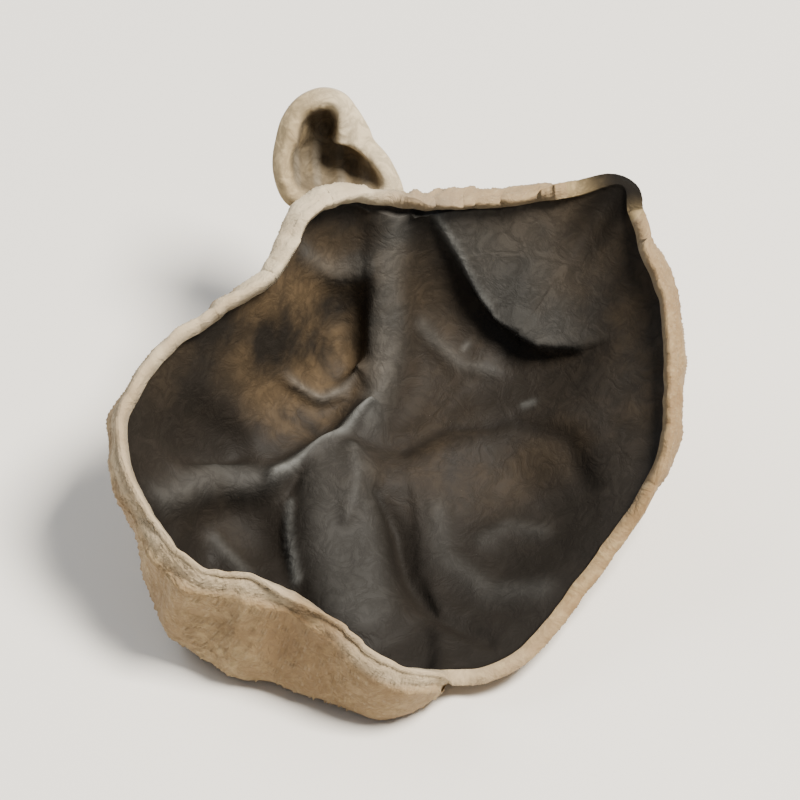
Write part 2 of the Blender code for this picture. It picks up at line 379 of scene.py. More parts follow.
@dataclass(frozen=True)
class Overlap:
    """The fold on the right of the stub, where the face laps over itself.

    Attributes:
        edge: Its lower edge in the plan of the face.
        drop: Height of the step at that edge.
        soft: Width of the step.
        fade: Distance over which it sinks back into the face.
        end: It also sinks in between these places along X.
        pale: Painted highlight of the whole flap, as how much lighter it is than the face.
        wear_and_painted_light: Painted highlight along its edge, as how much lighter that line is.
        highlight_in: Distance of that line from the edge.
        highlight_width: Its width.
        highlight_end: It ends between these places along X.
    """

    edge: Path = ((1.4, 11.0), (3.2, 9.2), (5.1, 7.2), (7.4, 5.5), (9.2, 5.0))
    drop: float = 1.3
    soft: float = 0.45
    fade: float = 4.0
    end: tuple[float, float] = (7.0, 11.0)
    pale: float = 0.28
    wear_and_painted_light: float = 0.8
    highlight_in: float = 0.25
    highlight_width: float = 0.3
    highlight_end: tuple[float, float] = (4.0, 7.0)

    def measure(self, x: np.ndarray, y: np.ndarray) -> tuple[np.ndarray, np.ndarray]:
        """Height of the fold, and its painted highlight.

        Args:
            x: First coordinates in the plan of the face.
            y: Second coordinates in the plan of the face.

        Returns:
            The height and the painted highlight at each point.
        """
        away = path_distance(x, y, self.edge)
        line = np.interp(x, [p[0] for p in self.edge], [p[1] for p in self.edge])
        signed = np.sign(y - line) * away
        side = smoothstep(0.5 + signed / self.soft)
        sinking = 1 - smoothstep((x - self.end[0]) / (self.end[1] - self.end[0]))
        lap = side * sinking * np.exp(-((away / self.fade) ** 2))
        # Painted highlight: a lighter line along the edge of the flap.
        wear_and_painted_light = 1 - smoothstep((x - self.highlight_end[0]) / (self.highlight_end[1] - self.highlight_end[0]))
        wear_and_painted_light = wear_and_painted_light * np.exp(-(((signed - self.highlight_in) / self.highlight_width) ** 2))
        return self.drop * lap, np.maximum(self.pale * lap, self.wear_and_painted_light * wear_and_painted_light)


@dataclass
class Relief:
    """Everything that folds the sheet: ridges and overlap of the face, hollows and waves of both."""

    ridges: tuple[Ridge, ...] = (
        Ridge(((-0.4, 11.0), (-0.9, 8.6), (-0.9, 5.5), (-1.3, 3.6), (-1.9, 1.5)), 1.1, 1.3, 0.3),
        Ridge(((-5.0, 8.6), (-3.2, 8.9), (-1.6, 9.3)), 0.5, 0.6, 0.3),
        Ridge(((-5.7, 3.6), (-4.3, 3.1), (-3.2, 3.6), (-2.0, 4.7)), 0.4, 0.5, 0.35),
        Ridge(((-1.9, 2.4), (-3.2, 0.6), (-5.1, -0.8), (-6.7, -1.9)), 0.5, 0.8, 0.8),
        Ridge(((-3.2, -1.8), (-3.1, -5.5), (-2.2, -9.5)), 2.2, 1.1, 0.14, 2.0),
        Ridge(((-1.5, -2.6), (-0.2, -4.6), (0.2, -7.3), (1.6, -9.6), (4.2, -11.4)), 0.5, -0.5, 0.0),
        Ridge(((0.2, 0.2), (2.2, 1.6), (5.6, 1.8), (8.2, 0.4), (9.4, -2.5)), 0.6, -0.22, 0.0),
        Ridge(((-5.7, -3.2), (-5.6, -5.2), (-5.3, -7.6)), 0.35, 0.3, 0.6),
        Ridge(((-2.7, -0.6), (-2.6, -2.4), (-2.9, -4.2)), 0.5, 0.3, 0.2),
        Ridge(((1.7, -3.2), (2.0, -6.0), (4.4, -8.4), (7.0, -8.6)), 1.0, 0.45, 0.12),
        Ridge(((4.1, -4.9), (5.4, -4.1), (7.0, -4.6)), 0.7, 0.25, 0.1),
        Ridge(((-12.4, -4.1), (-9.7, -2.1), (-6.7, -1.9)), 0.9, 0.8, 0.2),
        Ridge(((-9.6, -5.0), (-8.2, -6.8), (-7.6, -8.8)), 0.5, 0.3, 0.2),
        Ridge(((1.0, 6.8), (3.0, 5.2), (4.6, 4.9)), 0.5, 0.25, 0.2),
        Ridge(((6.2, 2.7), (6.6, 2.8)), 0.3, 0.05, 0.4),
        Ridge(((3.1, 6.0), (3.3, 6.2)), 0.25, 0.05, 0.3),
    )
    hollows: tuple[Hollow, ...] = (
        Hollow((-3.2, 6.6), (2.4, 2.8), 0.8),
        Hollow((5.2, -4.6), (5.4, 6.2), 1.5),
        Hollow((-10.2, -0.4), (2.6, 1.9), 1.0),
        Hollow((-8.6, -5.4), (2.6, 3.2), 0.9),
        Hollow((0.5, 5.5), (9.0, 6.5), 1.6),
        Hollow((-3.2, -6.2), (2.6, 5.4), -0.8),
    )
    waves: tuple[Wave, ...] = (
        Wave(25, 13.0, 40, 0.3),
        Wave(100, 9.0, 110, 0.2),
        Wave(160, 6.5, 250, 0.12),
    )
    overlap: Overlap = field(default_factory=Overlap)

    def raised(self, x: np.ndarray, y: np.ndarray) -> tuple[np.ndarray, np.ndarray]:
        """Height of the ribs of the face, the painted highlight on their crests and the painted shade in its
        grooves.

        Args:
            x: First coordinates in the plan of the face.
            y: Second coordinates in the plan of the face.

        Returns:
            The height, the painted highlight and the painted shade at each point.
        """
        height, pale = self.overlap.measure(x, y)
        dark = np.zeros(x.shape)
        for ridge in self.ridges:
            bump = ridge.bump(x, y)
            height = height + ridge.crest * bump
            pale = np.maximum(pale, ridge.pale * bump * bump)
            if ridge.crest < 0:
                dark = np.maximum(dark, bump * bump)
        return height, pale, dark

    def folded(self, x: np.ndarray, y: np.ndarray) -> tuple[np.ndarray, np.ndarray]:
        """Height of both sides of the sheet, and how deep each place lies.

        Args:
            x: First coordinates in the plan of the face.
            y: Second coordinates in the plan of the face.

        Returns:
            The height, and the depth mask that sets painted shade, at each point.
        """
        height, deep = np.zeros(x.shape), np.zeros(x.shape)
        for hollow in self.hollows:
            bump = hollow.bump(x, y)
            height = height - hollow.depth * bump
            deep = np.maximum(deep, bump)
        for wave in self.waves:
            heading = math.radians(wave.heading)
            along = (x * math.cos(heading) + y * math.sin(heading)) / wave.length
            height = height + wave.crest * np.sin(FULL_TURN * along + math.radians(wave.phase))
        return height, deep


# ---------------------------------------------------------------- flesh


@dataclass(frozen=True)
class Stance:
    """How face axes become the part's own axes.

    Attributes:
        lean: Angle by which the face leans to the front.
        shift: Move along X and Y.
        lift: Move along Z, which sets the ear on the ground.
    """

    lean: float = math.radians(20)
    shift: tuple[float, float] = (0.14, 1.42)
    lift: float = 2.92

    def apply(self, points: np.ndarray) -> np.ndarray:
        """Turns and moves places from face axes to the part's axes.

        Args:
            points: One place a row, in face axes.

        Returns:
            The same places in the part's axes.
        """
        c, s = math.cos(self.lean), math.sin(self.lean)
        x, y, z = np.asarray(points, float).T
        forward, high = c * y - s * z + self.shift[1], s * y + c * z + self.lift
        return np.stack([x + self.shift[0], forward, high], axis=-1)

    def plan(self, points: np.ndarray) -> np.ndarray:
        """Finds where places of the part lie in the plan of the face.

        Args:
            points: One place a row, in the part's axes.

        Returns:
            X and Y in face axes, one place a row.
        """
        c, s = math.cos(self.lean), math.sin(self.lean)
        x, y, z = np.asarray(points, float).T
        y, z = y - self.shift[1], z - self.lift
        return np.stack([x - self.shift[0], c * y + s * z], axis=-1)


def read_points(verts: list[bmesh.types.BMVert]) -> np.ndarray:
    """Reads the places of vertices, one a row."""
    return np.array([v.co for v in verts], float)


def write_points(verts: list[bmesh.types.BMVert], points: np.ndarray) -> None:
    """Moves vertices to places, one a row."""
    for vertex, point in zip(verts, points.tolist()):
        vertex.co = point


def read_normals(verts: list[bmesh.types.BMVert]) -> np.ndarray:
    """Reads the directions that vertices face, one a row."""
    return np.array([v.normal for v in verts], float)


class Flesh:
    """A closed sheet of flesh in the making: a bmesh with a dark side, a tan side and its marks.

    Attributes:
        bm: The sheet itself.
        flat: Where the vertices of the dark side lay on the flat grid, one a row.
        dark: Vertices of the dark side.
        tan: Vertices of the tan side.
        number: Layer with the number of each vertex of the dark side, which its twin takes over.
        twin: For each vertex of the tan side, the number of its twin on the dark side.
    """

    def __init__(self, columns: int) -> None:
        """Starts from a flat, square grid of half-width 1.

        Args:
            columns: Faces along each side.
        """
        self.bm = bmesh.new()
        for mark in Mark:
            self.bm.verts.layers.float.new(mark.value)
        self.bm.verts.layers.int.new("twin")
        bmesh.ops.create_grid(self.bm, x_segments=columns, y_segments=columns, size=1.0)
        self.flat = read_points(self.bm.verts)
        self.dark: list[bmesh.types.BMVert] = list(self.bm.verts)
        self.tan: list[bmesh.types.BMVert] = []
        self.twin = np.zeros(0, int)
        self.number = self.bm.verts.layers.int["twin"]
        for number, vertex in enumerate(self.dark):
            vertex[self.number] = number

    def thicken(self, thickness: float) -> None:
        """Gives the sheet its tan side, behind its normals, and closes the edge.

        Args:
            thickness: Distance between the two sides.
        """
        known = set(self.dark)
        self.bm.normal_update()
        bmesh.ops.solidify(self.bm, geom=self.bm.faces[:], thickness=thickness)
        self.tan = [v for v in self.bm.verts if v not in known]
        self.twin = np.array([v[self.number] for v in self.tan])

    def mark(self, mark: Mark, side: list[bmesh.types.BMVert], values: np.ndarray) -> None:
        """Stores one mark on one side. A side that gets none has 0 everywhere.

        Args:
            mark: Which mark it is.
            side: Vertices of the side.
            values: The mark of each, which is held between 0 and 1.
        """
        layer = self.bm.verts.layers.float[mark.value]
        for vertex, value in zip(side, np.clip(values, 0.0, 1.0).tolist()):
            vertex[layer] = value

    def roughen(self, share: float, height: float, seed: int) -> None:
        """Raises short tufts of fuzz on the tan side, clear of the ground.

        Args:
            share: Share of the faces that carry a tuft.
            height: Height of the tallest tuft.
            seed: Start of the random draws.
        """
        chance = np.random.default_rng(seed)
        clearance, steepest, lowest, leaning = 0.15, 0.5, 0.3, 0.6
        tan = set(self.tan)
        bmesh.ops.recalc_face_normals(self.bm, faces=self.bm.faces)
        faces = [f for f in self.bm.faces if all(v in tan and v.co.z > clearance for v in f.verts)]
        chosen = [f for f, draw in zip(faces, chance.random(len(faces))) if draw < share]
        facing = np.array([f.normal for f in chosen], float)
        limits = np.minimum(height, steepest * np.sqrt([f.calc_area() for f in chosen]))
        tips = bmesh.ops.poke(self.bm, faces=chosen, offset=0.0, center_mode="MEAN")["verts"]
        middles = read_points(tips)
        heights = limits * (lowest + (1 - lowest) * chance.random(len(tips)))
        sway = leaning * limits[:, None] * (chance.random((len(tips), 3)) - 0.5)
        write_points(tips, middles + facing * heights[:, None] + sway)
        layers = [self.bm.verts.layers.float[mark.value] for mark in Mark if mark is not Mark.FUZZ]
        fuzz = self.bm.verts.layers.float[Mark.FUZZ.value]
        for tip in tips:
            around_it = [edge.other_vert(tip) for edge in tip.link_edges]
            for layer in layers:
                tip[layer] = sum(v[layer] for v in around_it) / len(around_it)
            tip[fuzz] = chance.random()

    def finish(self, name: str, dark_until: set[bmesh.types.BMVert]) -> bpy.types.Object:
        """Turns the bmesh into an object, in metres.

        Args:
            name: Name of the piece.
            dark_until: Vertices between which the flesh is dark.

        Returns:
            The new object, at the origin.
        """
        for face in self.bm.faces:
            is_dark = all(v in dark_until for v in face.verts)
            face.material_index = (Slot.FACE if is_dark else Slot.OUTSIDE).value
            face.smooth = True
        bmesh.ops.scale(self.bm, vec=(MM, MM, MM), verts=self.bm.verts)
        bmesh.ops.recalc_face_normals(self.bm, faces=self.bm.faces)
        mesh = bpy.data.meshes.new(name)
        self.bm.to_mesh(mesh)
        self.bm.free()
        piece = bpy.data.objects.new(name, mesh)
        bpy.context.scene.collection.objects.link(piece)
        return piece


@dataclass(frozen=True)
class RimWearAndHighlight:
    """How uneven the rim is, and the painted highlight along it.

    Attributes:
        circle: Radius of the circle on which its unevenness is read.
        sway: Slow wander of the rim in and out.
        bob: Slow wander up and down.
        crinkle: Short crinkles of the rim.
        crinkle_out: How far they push it out.
        crinkle_up: How far they push it up.
        width: Wander of the length of the lip, as a share of it.
        stain: Short wander of the line where the dark flesh ends.
        stain_width: How much of it shows in the length of the lip, as a share of it.
        stain_line: How far it moves that line, as a share of the lip.
        pale_from: Share of the lip at which the dark flesh ends.
        pale_over: Share of the lip over which it turns pale.
        painted_highlight: How strong the painted highlight on the rim is, at angles in degrees.
        blotch: Unevenness of the painted highlight.
        highlight_share: Share of the painted highlight that shows between the blotches.
        lip_shade: Painted highlight below which the lip gets painted shade, browner than the rest of the
            outside.
    """

    circle: float = 3.2
    sway: Lumps = Lumps(0.55, 3.1, 0.12)
    bob: Lumps = Lumps(0.5, 11.7, 0.14)
    crinkle: Lumps = Lumps(0.22, 19.3)
    crinkle_out: float = 0.07
    crinkle_up: float = 0.1
    width: Lumps = Lumps(0.4, 23.0, 0.1)
    stain: Lumps = Lumps(0.16, 29.9)
    stain_width: float = 0.12
    stain_line: float = 0.06
    pale_from: float = 0.78
    pale_over: float = 0.13
    # Painted highlight: the rim is lighter where light falls on it, by angle round the cup.
    painted_highlight: Path = (
        (0, 0.0), (55, 0.1), (88, 0.25), (103, 0.85), (150, 0.75), (180, 0.4),
        (240, 0.5), (248, 0.05), (255, 0.1), (262, 0.6), (285, 0.3), (310, 0.0), (360, 0.0),
    )
    blotch: Lumps = Lumps(1.3, 43.0, 0.35)
    highlight_share: float = 0.75
    lip_shade: float = 0.7

    def highlighted(self, angle: np.ndarray) -> np.ndarray:
        """Reads how strong the painted highlight on the rim is at angles in radians, from 0 to 1."""
        return np.interp(np.mod(np.degrees(angle), 360.0), *zip(*self.painted_highlight))

    def lit(self, angle: np.ndarray, along: np.ndarray, points: np.ndarray) -> np.ndarray:
        """Finds how strong the painted highlight on the lip is.

        Args:
            angle: Angle round the cup.
            along: Share of the way over the lip.
            points: Places on it, one a row.

        Returns:
            The painted highlight at each place, from 0 in the cup.
        """
        return self.highlighted(angle) * (self.highlight_share + self.blotch.smooth(points)) * smoothstep(2 * along)


@dataclass(frozen=True)
class Stub:
    """The pinched foot by which the ear grew from wood.

    Attributes:
        place: Where it leaves the plan of the face.
        root: Its radius where it leaves the sheet.
        tip: Radius of its broken end.
        length: Its length.
        flare: How quickly it spreads into the sheet.
        flutes: Number, depth and phase of the flutes round it.
        stops: Shares of the sheet between which its pull fades towards the lip.
    """

    place: tuple[float, float] = (-0.2, 8.8)
    root: float = 6.0
    tip: float = 1.3
    length: float = 8.0
    flare: float = 2.2
    flutes: tuple[tuple[float, float, float], ...] = ((5, 0.5, 0.0), (11, 0.22, 1.0), (19, 0.12, 2.0))
    stops: tuple[float, float] = (0.74, 0.88)

    def polar(self, plan: np.ndarray) -> tuple[np.ndarray, np.ndarray]:
        """Measures places in the plan of the face from the stub.

        Args:
            plan: The places, one a row.

        Returns:
            The heading from the stub to each, and its distance.
        """
        x, y = plan[:, 0] - self.place[0], plan[:, 1] - self.place[1]
        return np.arctan2(y, x), np.hypot(x, y)

    def pull(self, plan: np.ndarray, share: np.ndarray) -> tuple[np.ndarray, np.ndarray]:
        """Finds how far the stub draws each place of the outside away from the sheet.

        Args:
            plan: Places in the plan of the face, one a row.
            share: Share of the way out of each.

        Returns:
            The pull, and how near each place is to the stub, from 0 to 1.
        """
        heading, away = self.polar(plan)
        fluted = sum(depth * np.cos(number * heading + phase) for number, depth, phase in self.flutes)
        spread = np.clip((away + fluted - self.tip) / (self.root - self.tip), 0.0, 1.0)
        first, last = self.stops
        fading = smoothstep((share - first) / (last - first))
        return self.length * (1 - spread) ** self.flare * (1 - fading), 1 - spread


@dataclass(frozen=True)
class Hide:
    """The wrinkled, zoned and tufted skin of the outside.

    Attributes:
        pleats: Pleats that run out from the stub.
        pleat_ring: Radius of the circle on which they are read.
        pleat_reach: Distance from the stub at which they have faded.
        pleat_start: Distance over which they begin.
        pleat_pale: Painted highlight on their crests.
        creases: Creases all over.
        drapes: Long folds that hang from the rim.
        drape_ring: Radius of the circle on which they are read.
        drape_drop: How quickly they change on the way down.
        drape_lip: How much of them the lip loses.
        zone: Spacing of the rings of growth.
        zone_height: Their height.
        zone_wander: How far they stray, in radians.
        drapes_from: Distance from the stub at which the drapes begin.
        zones_from: Distance from it at which the rings of growth begin.
        rise_over: Distance over which those two rise.
        sunk: How far all of it is set back into the flesh.
        smooth_from: Share of the lip from which it is smooth.
        patches: Worn, browner patches.
        patch_share: How brown the skin is between patches and crests.
        zone_share: How much browner it is between the rings of growth.
        tufted: Share of the faces that carry a tuft of fuzz.
        tuft: Height of the tallest tuft.
        tuft_seed: Start of the random draws of the tufts.
    """

    pleats: Lumps = Lumps(0.42, 5.0, 0.35)
    pleat_ring: float = 2.2
    pleat_reach: float = 9.0
    pleat_start: float = 2.5
    pleat_pale: float = 0.5
    creases: Lumps = Lumps(2.4, 31.0, 0.17)
    drapes: Lumps = Lumps(1.7, 33.0, 0.5)
    drape_ring: float = 6.5
    drape_drop: float = 1.8
    drape_lip: float = 0.75
    zone: float = 1.9
    zone_height: float = 0.04
    zone_wander: Lumps = Lumps(4.0, 41.0, 1.5)
    drapes_from: float = 5.0
    zones_from: float = 4.0
    rise_over: float = 4.0
    sunk: float = 0.36
    smooth_from: float = 0.85
    patches: Lumps = Lumps(5.0, 91.0, 0.45)
    patch_share: float = 0.45
    zone_share: float = 0.3
    tufted: float = 0.45
    tuft: float = 0.13
    tuft_seed: int = 17


@dataclass
class Cup:
    """The cup with its lip and stub.

    Attributes:
        rings: Rings of faces from the middle to the edge of the lip.
        lip_rings: The outermost rings, which form the lip.
        thickness: Thickness of the sheet.
        pressed: Height at which the dark side of the pressed belly levels out.
        pressed_blend: Softness of the bend round the pressed belly.
        bulge_from: Share of the wall's plan at which it starts to bulge.
        bulge_at: Share at which it bulges most.
        lip_room: What the lip and the sheet take off the reach of the wall.
        least_turn: The least turn of the lip, in radians.
        fold_fade: How much of the folds of the sheet the wall loses.
        ridge_fade: How much of the ridges of the face it loses.
        hollow_shade: How dark the hollows are.
        hollow_top: Place along Y up to which they are darker.
        shaded_from: Place along Y below which all of the face is darker.
        shade: How dark it is there.
        shade_over: Distance over which both of these fade.
        tip_angle: Angle of the pointed corner in degrees.
        tip_width: Half of the angle over which it is dark.
        wrinkles: Wrinkles of the dark side, broad and fine.
        wrinkle_sunk: How far they are set back into the flesh.
        browned: Where the dark flesh is thinnest and brownest.
        browned_share: How brown it is there.
        mottles: Brown mottles elsewhere.
        mottle_share: How brown they are.
        mottle_rise: How much more of them there is towards the stub, for each millimetre.
        mottle_from: Place along Y where that starts to count.
        dark_until: Share of the lip up to which the dark finish goes.
        tip_lip: Share of the lip beyond which the outside of the tip has it too.
        tip_from: Darkness of the tip from which it is finished so.
    """

    rings: int = 92
    lip_rings: int = 21
    thickness: float = 0.8
    pressed: float = 0.55
    pressed_blend: float = 0.25
    bulge_from: float = 0.3
    bulge_at: float = 0.8
    lip_room: float = 1.5
    least_turn: float = 0.01
    fold_fade: float = 0.7
    ridge_fade: float = 0.6
    hollow_shade: float = 0.5
    hollow_top: float = 7.0
    shaded_from: float = -1.0
    shade: float = 0.9
    shade_over: float = 6.0
    tip_angle: float = 47.2
    tip_width: float = 4.6
    wrinkles: tuple[Lumps, ...] = (Lumps(2.3, 51.0, 0.09), Lumps(0.7, 61.0, 0.025))
    wrinkle_sunk: float = 0.06
    browned: Hollow = Hollow((-4.9, 4.8), (4.2, 4.8), 0.0)
    browned_share: float = 0.8
    mottles: Lumps = Lumps(4.5, 81.0, 0.8)
    mottle_share: float = 0.3
    mottle_rise: float = 0.05
    mottle_from: float = 2.0
    dark_until: float = 0.97
    tip_lip: float = 0.5
    tip_from: float = 0.02
    stance: Stance = field(default_factory=Stance)
    relief: Relief = field(default_factory=Relief)
    wear_and_highlight: RimWearAndHighlight = field(default_factory=RimWearAndHighlight)
    stub: Stub = field(default_factory=Stub)
    hide: Hide = field(default_factory=Hide)

    def lay_out(self, share: np.ndarray, angle: np.ndarray) -> dict[str, np.ndarray]:
        """Lays out the dark side in face axes, without its ridges.

        Args:
            share: From 0 in the middle of the cup to 1 at the edge of the lip.
            angle: Angle round the cup.

        Returns:
            What was given, the points, the plan of each, the height of the ridges there, and the marks of the
            face under their own names.
        """
        wear_and_highlight = self.wear_and_highlight
        lip_from = 1 - self.lip_rings / self.rings
        out = np.clip(share / lip_from, 0.0, 1.0)
        along = np.clip((share - lip_from) / (1 - lip_from), 0.0, 1.0)
        reach, rise, steep, turn, lip, bulge = (
            around(angle, RIM, name) for name in ("reach", "rise", "steep", "turn", "lip", "bulge")
        )
        circle = wear_and_highlight.circle * np.stack([np.cos(angle), np.sin(angle), np.zeros(angle.shape)], axis=1)
        crinkle, stain = wear_and_highlight.crinkle.smooth(circle), wear_and_highlight.stain.smooth(circle)
        reach = reach + wear_and_highlight.sway.smooth(circle) + wear_and_highlight.crinkle_out * crinkle
        rise = rise + wear_and_highlight.bob.smooth(circle) + wear_and_highlight.crinkle_up * crinkle
        lip = lip * (1 + wear_and_highlight.width.smooth(circle) + wear_and_highlight.stain_width * stain)
        turn = np.radians(turn)
        turn = np.where(np.abs(turn) < self.least_turn, self.least_turn, turn)

        top = 1 - self.bulge_at
        wall = np.arctan2(rise * steep, reach - self.lip_room - bulge * math.pi / 2 / top)
        bend = turn / lip
        widest = np.where(turn > 0, np.clip((math.pi / 2 - wall) / turn, 0.0, 1.0), 1.0)
        shoulder = reach - self.thickness - (np.sin(wall + turn * widest) - np.sin(wall)) / bend
        slope = wall + turn * along
        inner = smoothstep((out - self.bulge_from) / (self.bulge_at - self.bulge_from))
        outer = np.cos(math.pi / 2 * (out - self.bulge_at) / top)
        spread = shoulder * out + bulge * np.where(out < self.bulge_at, inner, outer)
        radius = spread + (np.sin(slope) - np.sin(wall)) / bend
        height = rise * out**steep + (np.cos(wall) - np.cos(slope)) / bend

        x, y = spread * np.cos(angle), spread * np.sin(angle)
        fading = smoothstep(3 * out - 2)
        folded, deep = self.relief.folded(x, y)
        raised, pale, dark = self.relief.raised(x, y)
        # Painted shade: darker in the hollows and grooves, and over the lower face.
        deep = np.maximum(self.hollow_shade * deep, dark) * (1 - fading)
        deep = deep * smoothstep((self.hollow_top - y) / self.shade_over)
        shaded = self.shade * smoothstep((self.shaded_from - y) / self.shade_over)
        past_tip = (np.degrees(angle) - self.tip_angle) / self.tip_width
        height = height + folded * (1 - self.fold_fade * fading)
        return {
            "share": share,
            "angle": angle,
            "points": np.stack([radius * np.cos(angle), radius * np.sin(angle), height], axis=1),
            "plan": np.stack([x, y, np.zeros(x.shape)], axis=1),
            "along": along,
            "pale": smoothstep((along - wear_and_highlight.pale_from + wear_and_highlight.stain_line * stain) / wear_and_highlight.pale_over),
            "raised": raised * (1 - self.ridge_fade * fading) * (1 - smoothstep(2 * along)),
            # Painted highlight on the crests of the ridges and the flap.
            "rib": pale * (1 - smoothstep(3 * along)),
            "deep": np.maximum(deep, shaded),
            "tip": np.exp(-(past_tip**4)) * smoothstep(4 * out - 3),
        }

    def clothe(self, flesh: Flesh, laid: dict[str, np.ndarray], outward: np.ndarray) -> None:
        """Wrinkles the outside, draws it out into the stub and marks it.

        Args:
            flesh: The sheet, with both its sides.
            laid: The dark side, as it is laid out.
            outward: Way out of the flesh at each vertex of the outside.
        """
        hide, stub = self.hide, self.stub
        back = read_points(flesh.tan)
        plan = self.stance.plan(back)
        share, angle, along = (laid[name][flesh.twin] for name in ("share", "angle", "along"))
        pull, root = stub.pull(plan, share)
        heading, away = stub.polar(plan)

        ring, reach = hide.pleat_ring, hide.pleat_reach
        rays = np.stack([ring * np.cos(heading), ring * np.sin(heading), away / reach], axis=1)
        pleats = hide.pleats.crumpled(rays)
        pleats = pleats * np.exp(-((away / reach) ** 2)) * smoothstep(away / hide.pleat_start)
        ring, drop = hide.drape_ring, hide.drape_drop
        down = np.stack([ring * np.cos(angle), ring * np.sin(angle), drop * share], axis=1)
        drapes = hide.drapes.crumpled(down)
        drapes = drapes * smoothstep((away - hide.drapes_from) / hide.rise_over)
        drapes = drapes * (1 - hide.drape_lip * smoothstep(3 * along))
        zones = np.sin(FULL_TURN * away / hide.zone + hide.zone_wander.smooth(back))
        zones = zones * smoothstep((away - hide.zones_from) / hide.rise_over)
        grow = pleats + hide.creases.crumpled(back) + hide.zone_height * zones + drapes - hide.sunk
        back = back + outward * np.where(along > hide.smooth_from, 0.0, grow)[:, None]
        c, s = math.cos(self.stance.lean), math.sin(self.stance.lean)
        back[:, 1] += s * pull
        back[:, 2] = np.maximum(back[:, 2] - c * pull, 0.0)
        write_points(flesh.tan, back)

        # Painted shade: the lip turns browner where its painted highlight is weak.
        lip_shade = (self.wear_and_highlight.lip_shade - self.wear_and_highlight.highlighted(angle)) * smoothstep(3 * along)
        wear_and_painted_light = hide.patch_share + hide.patches.smooth(back) - hide.zone_share * zones + lip_shade
        flesh.mark(Mark.PALE, flesh.tan, np.ones(len(back)))
        flesh.mark(Mark.RIB, flesh.tan, hide.pleat_pale * pleats / hide.pleats.height)
        flesh.mark(Mark.BROWN, flesh.tan, wear_and_painted_light)
        flesh.mark(Mark.ROOT, flesh.tan, root)
        flesh.mark(Mark.TIP, flesh.tan, laid["tip"][flesh.twin] * smoothstep(3 * along))

    def colour_face(self, flesh: Flesh, laid: dict[str, np.ndarray]) -> None:
        """Marks the dark side.

        Args:
            flesh: The sheet.
            laid: The dark side, as it is laid out.
        """
        x, y = laid["plan"][:, 0], laid["plan"][:, 1]
        spread = self.mottles.smooth(laid["plan"]) + self.mottle_rise * (y - self.mottle_from)
        brown = self.mottle_share * smoothstep(0.5 + spread) + self.browned_share * self.browned.bump(x, y)
        flesh.mark(Mark.BROWN, flesh.dark, brown)
        for mark in (Mark.PALE, Mark.RIB, Mark.DEEP, Mark.TIP):
            flesh.mark(mark, flesh.dark, laid[mark.value])

    def dark_finished(self, flesh: Flesh, laid: dict[str, np.ndarray]) -> set[bmesh.types.BMVert]:
        """Finds the vertices between which the flesh has the dark finish.

        Args:
            flesh: The sheet, with both its sides.
            laid: The dark side, as it is laid out.

        Returns:
            The dark side but for the edge of its lip, and both sides of the lip at the tip.
        """
        along, at_tip = laid["along"], laid["tip"] > self.tip_from
        inner = (along < self.dark_until) | at_tip
        outer = ((along > self.tip_lip) & at_tip)[flesh.twin]
        return {v for v, dark in zip(flesh.dark + flesh.tan, np.concatenate([inner, outer])) if dark}

    def build(self) -> bpy.types.Object:
        """Models the cup.

        Returns:
            The finished piece.
        """
        flesh = Flesh(2 * self.rings)
        laid = self.lay_out(*disc_place(flesh.flat[:, 0], flesh.flat[:, 1]))
        points = self.stance.apply(laid["points"])
        points[:, 2] = soft_floor(points[:, 2], self.pressed, self.pressed_blend)
        write_points(flesh.dark, points)
        flesh.bm.normal_update()
        facing = read_normals(flesh.dark)
        flesh.thicken(self.thickness)
        self.clothe(flesh, laid, -facing[flesh.twin])

        wrinkled = sum(lumps.crumpled(laid["plan"]) for lumps in self.wrinkles) - self.wrinkle_sunk
        wrinkled = wrinkled * (1 - smoothstep(1.5 * laid["along"]))
        write_points(flesh.dark, points + (laid["raised"] + wrinkled)[:, None] * facing)
        self.colour_face(flesh, laid)
        # Painted highlight along the rim, on both sides of the lip.
        lit = self.wear_and_highlight.lit(laid["angle"], laid["along"], points)
        flesh.mark(Mark.LIGHT, flesh.dark, lit)
        flesh.mark(Mark.LIGHT, flesh.tan, lit[flesh.twin])
        flesh.roughen(self.hide.tufted, self.hide.tuft, self.hide.tuft_seed)
        return flesh.finish("ear_cup", self.dark_finished(flesh, laid))


LOBE = (
    LobeStation(18, 2.4, 1.9),
    LobeStation(45, 2.4, 1.6),
    LobeStation(68, 2.7, 1.3),
    LobeStation(90, 2.8, 1.1),
    LobeStation(114, 2.7, 1.1),
    LobeStation(148, 2.5, 1.2),
    LobeStation(178, 2.5, 1.2),
    LobeStation(206, 2.9, 1.1),
    LobeStation(228, 3.1, 1.0),
    LobeStation(250, 3.0, 1.0),
    LobeStation(288, 3.2, 1.0),
    LobeStation(312, 4.0, 1.2),
    LobeStation(330, 4.7, 1.6),
    LobeStation(345, 3.6, 1.9),
    LobeStation(358, 2.7, 2.0),
)


